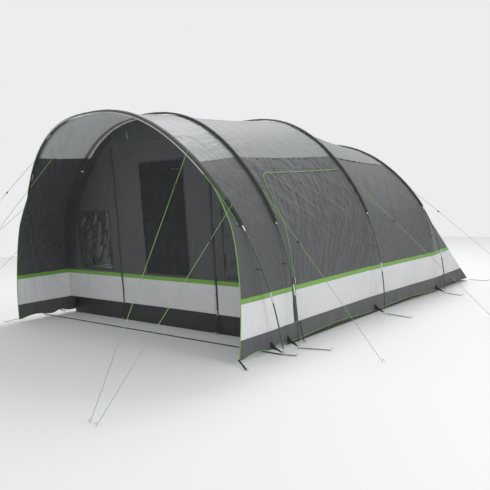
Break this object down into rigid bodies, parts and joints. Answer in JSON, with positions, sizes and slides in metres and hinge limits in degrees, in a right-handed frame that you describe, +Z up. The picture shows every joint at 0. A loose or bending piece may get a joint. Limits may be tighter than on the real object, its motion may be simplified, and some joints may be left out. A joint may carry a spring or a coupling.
{
  "type": "tunnel tent",
  "caption": "Tunnel tent on arched poles with an open front porch, zipped front and side doors, a rear sleeping cabin, clear windows, and pegged guylines",
  "frame": {"origin": "centre of the groundsheet's underside, on the ground", "axes": "+X the tent's right side seen from behind the porch looking out of the rear, so the side door's wall; +Y from the front porch to the rear; +Z up"},
  "size_m": [5.2998, 6.2593, 2.1015],
  "materials": {
    "wall_cloth": "coated polyester",
    "roof_cloth": "coated polyester",
    "green_cloth": "coated polyester",
    "light_cloth": "coated polyester",
    "skirt_cloth": "coated polyester",
    "groundsheet_cloth": "woven polyethylene",
    "cabin_cloth": "breathable polyester",
    "insect_mesh": "fine mesh",
    "porch_sleeve_cloth": "polyester",
    "black_webbing": "woven webbing",
    "clear_film": "flexible clear film",
    "pole_fibreglass": "fibreglass",
    "steel": "plated",
    "clip_plastic": "moulded",
    "tensioner_plastic": "moulded",
    "green_cord": "braided polyester",
    "green_piping": "cord in a cloth cover"
  },
  "bodies": {
    "tent": {"belt": "green_cloth", "clear_windows": "clear_film", "foot_gussets": "green_cloth", "foot_pins": "steel", "front_wall": "wall_cloth", "groundsheet": "groundsheet_cloth", "guy_pegs": "steel", "guyline_front_right": "green_cord", "guyline_front_right_branch": "green_cord", "guyline_middle_left": "green_cord", "guyline_middle_left_branch": "green_cord", "guyline_middle_right": "green_cord", "guyline_middle_right_branch": "green_cord", "guyline_porch_apex": "green_cord", "guyline_porch_left_lower": "green_cord", "guyline_porch_left_upper": "green_cord", "guyline_porch_right_lower": "green_cord", "guyline_porch_right_upper": "green_cord", "guyline_rear_right": "green_cord", "hoop_pole_1": "pole_fibreglass", "hoop_pole_2": "pole_fibreglass", "hoop_pole_3": "pole_fibreglass", "hoop_pole_4": "pole_fibreglass", "hoop_strap": "black_webbing", "light_band": "light_cloth", "peg_straps": "black_webbing", "pegs": "steel", "piping": "green_piping", "pole_clips": "clip_plastic", "pole_ferrules": "steel", "rear_panel": "wall_cloth", "roof_middle": "roof_cloth", "roof_porch": "roof_cloth", "roof_rear": "roof_cloth", "skirt": "skirt_cloth", "sleeping_cabin": "cabin_cloth", "sleeve_porch": "porch_sleeve_cloth", "sleeves_black": "black_webbing", "wall_left": "wall_cloth", "wall_right": "wall_cloth", "zip_flaps": "black_webbing"},
    "front_door_panel": {"front_door": "wall_cloth", "front_door_mesh": "insect_mesh", "front_door_belt": "green_cloth", "front_door_band": "light_cloth"},
    "side_door_panel": {"side_door": "wall_cloth", "side_door_belt": "green_cloth", "side_door_band": "light_cloth"},
    "front_zip": {"front_zip_slider": "steel"},
    "side_zip": {"side_zip_slider": "steel"},
    "tensioner_front_right_body": {"tensioner_front_right": "tensioner_plastic"},
    "tensioner_middle_left_body": {"tensioner_middle_left": "tensioner_plastic"},
    "tensioner_middle_right_body": {"tensioner_middle_right": "tensioner_plastic"},
    "tensioner_porch_apex_body": {"tensioner_porch_apex": "tensioner_plastic"},
    "tensioner_porch_left_lower_body": {"tensioner_porch_left_lower": "tensioner_plastic"},
    "tensioner_porch_left_upper_body": {"tensioner_porch_left_upper": "tensioner_plastic"},
    "tensioner_porch_right_lower_body": {"tensioner_porch_right_lower": "tensioner_plastic"},
    "tensioner_porch_right_upper_body": {"tensioner_porch_right_upper": "tensioner_plastic"},
    "tensioner_rear_right_body": {"tensioner_rear_right": "tensioner_plastic"}
  },
  "joints": [
    {"name": "front_door_hinge", "type": "hinge", "parent": "tent", "child": "front_door_panel", "pos_m": [-0.5785, -1.9488, 0], "axis": [0, -0.0278, 0.9996], "range_deg": [0, 95]},
    {"name": "side_door_hinge", "type": "hinge", "parent": "tent", "child": "side_door_panel", "pos_m": [1.1758, -0.56, 1.4985], "axis": [-0.0052, -1, 0], "range_deg": [0, 90]},
    {"name": "front_zip_slide", "type": "slide", "parent": "tent", "child": "front_zip", "axis": [0, -0.0278, 0.9996], "range_m": [0, 1.55]},
    {"name": "side_zip_slide", "type": "slide", "parent": "tent", "child": "side_zip", "axis": [0, 0, 1], "range_m": [-0.33, 0.14]},
    {"name": "tensioner_front_right_slide", "type": "slide", "parent": "tent", "child": "tensioner_front_right_body", "axis": [0.6294, 0.0097, -0.777], "range_m": [0, 0.4]},
    {"name": "tensioner_middle_left_slide", "type": "slide", "parent": "tent", "child": "tensioner_middle_left_body", "axis": [-0.6579, -0.3792, -0.6506], "range_m": [0, 0.4]},
    {"name": "tensioner_middle_right_slide", "type": "slide", "parent": "tent", "child": "tensioner_middle_right_body", "axis": [0.6747, 0.1832, -0.715], "range_m": [0, 0.4]},
    {"name": "tensioner_porch_apex_slide", "type": "slide", "parent": "tent", "child": "tensioner_porch_apex_body", "axis": [-0.6825, -0.257, -0.6842], "range_m": [-0.2, 0.5]},
    {"name": "tensioner_porch_left_lower_slide", "type": "slide", "parent": "tent", "child": "tensioner_porch_left_lower_body", "axis": [-0.3886, -0.6627, -0.6402], "range_m": [-0.2, 0.5]},
    {"name": "tensioner_porch_left_upper_slide", "type": "slide", "parent": "tent", "child": "tensioner_porch_left_upper_body", "axis": [-0.4509, -0.5209, -0.7248], "range_m": [-0.2, 0.5]},
    {"name": "tensioner_porch_right_lower_slide", "type": "slide", "parent": "tent", "child": "tensioner_porch_right_lower_body", "axis": [0.1145, -0.7837, -0.6105], "range_m": [-0.2, 0.5]},
    {"name": "tensioner_porch_right_upper_slide", "type": "slide", "parent": "tent", "child": "tensioner_porch_right_upper_body", "axis": [0.2186, -0.6409, -0.7359], "range_m": [-0.2, 0.5]},
    {"name": "tensioner_rear_right_slide", "type": "slide", "parent": "tent", "child": "tensioner_rear_right_body", "axis": [0.5537, 0.5308, -0.6416], "range_m": [-0.2, 0.5]}
  ]
}
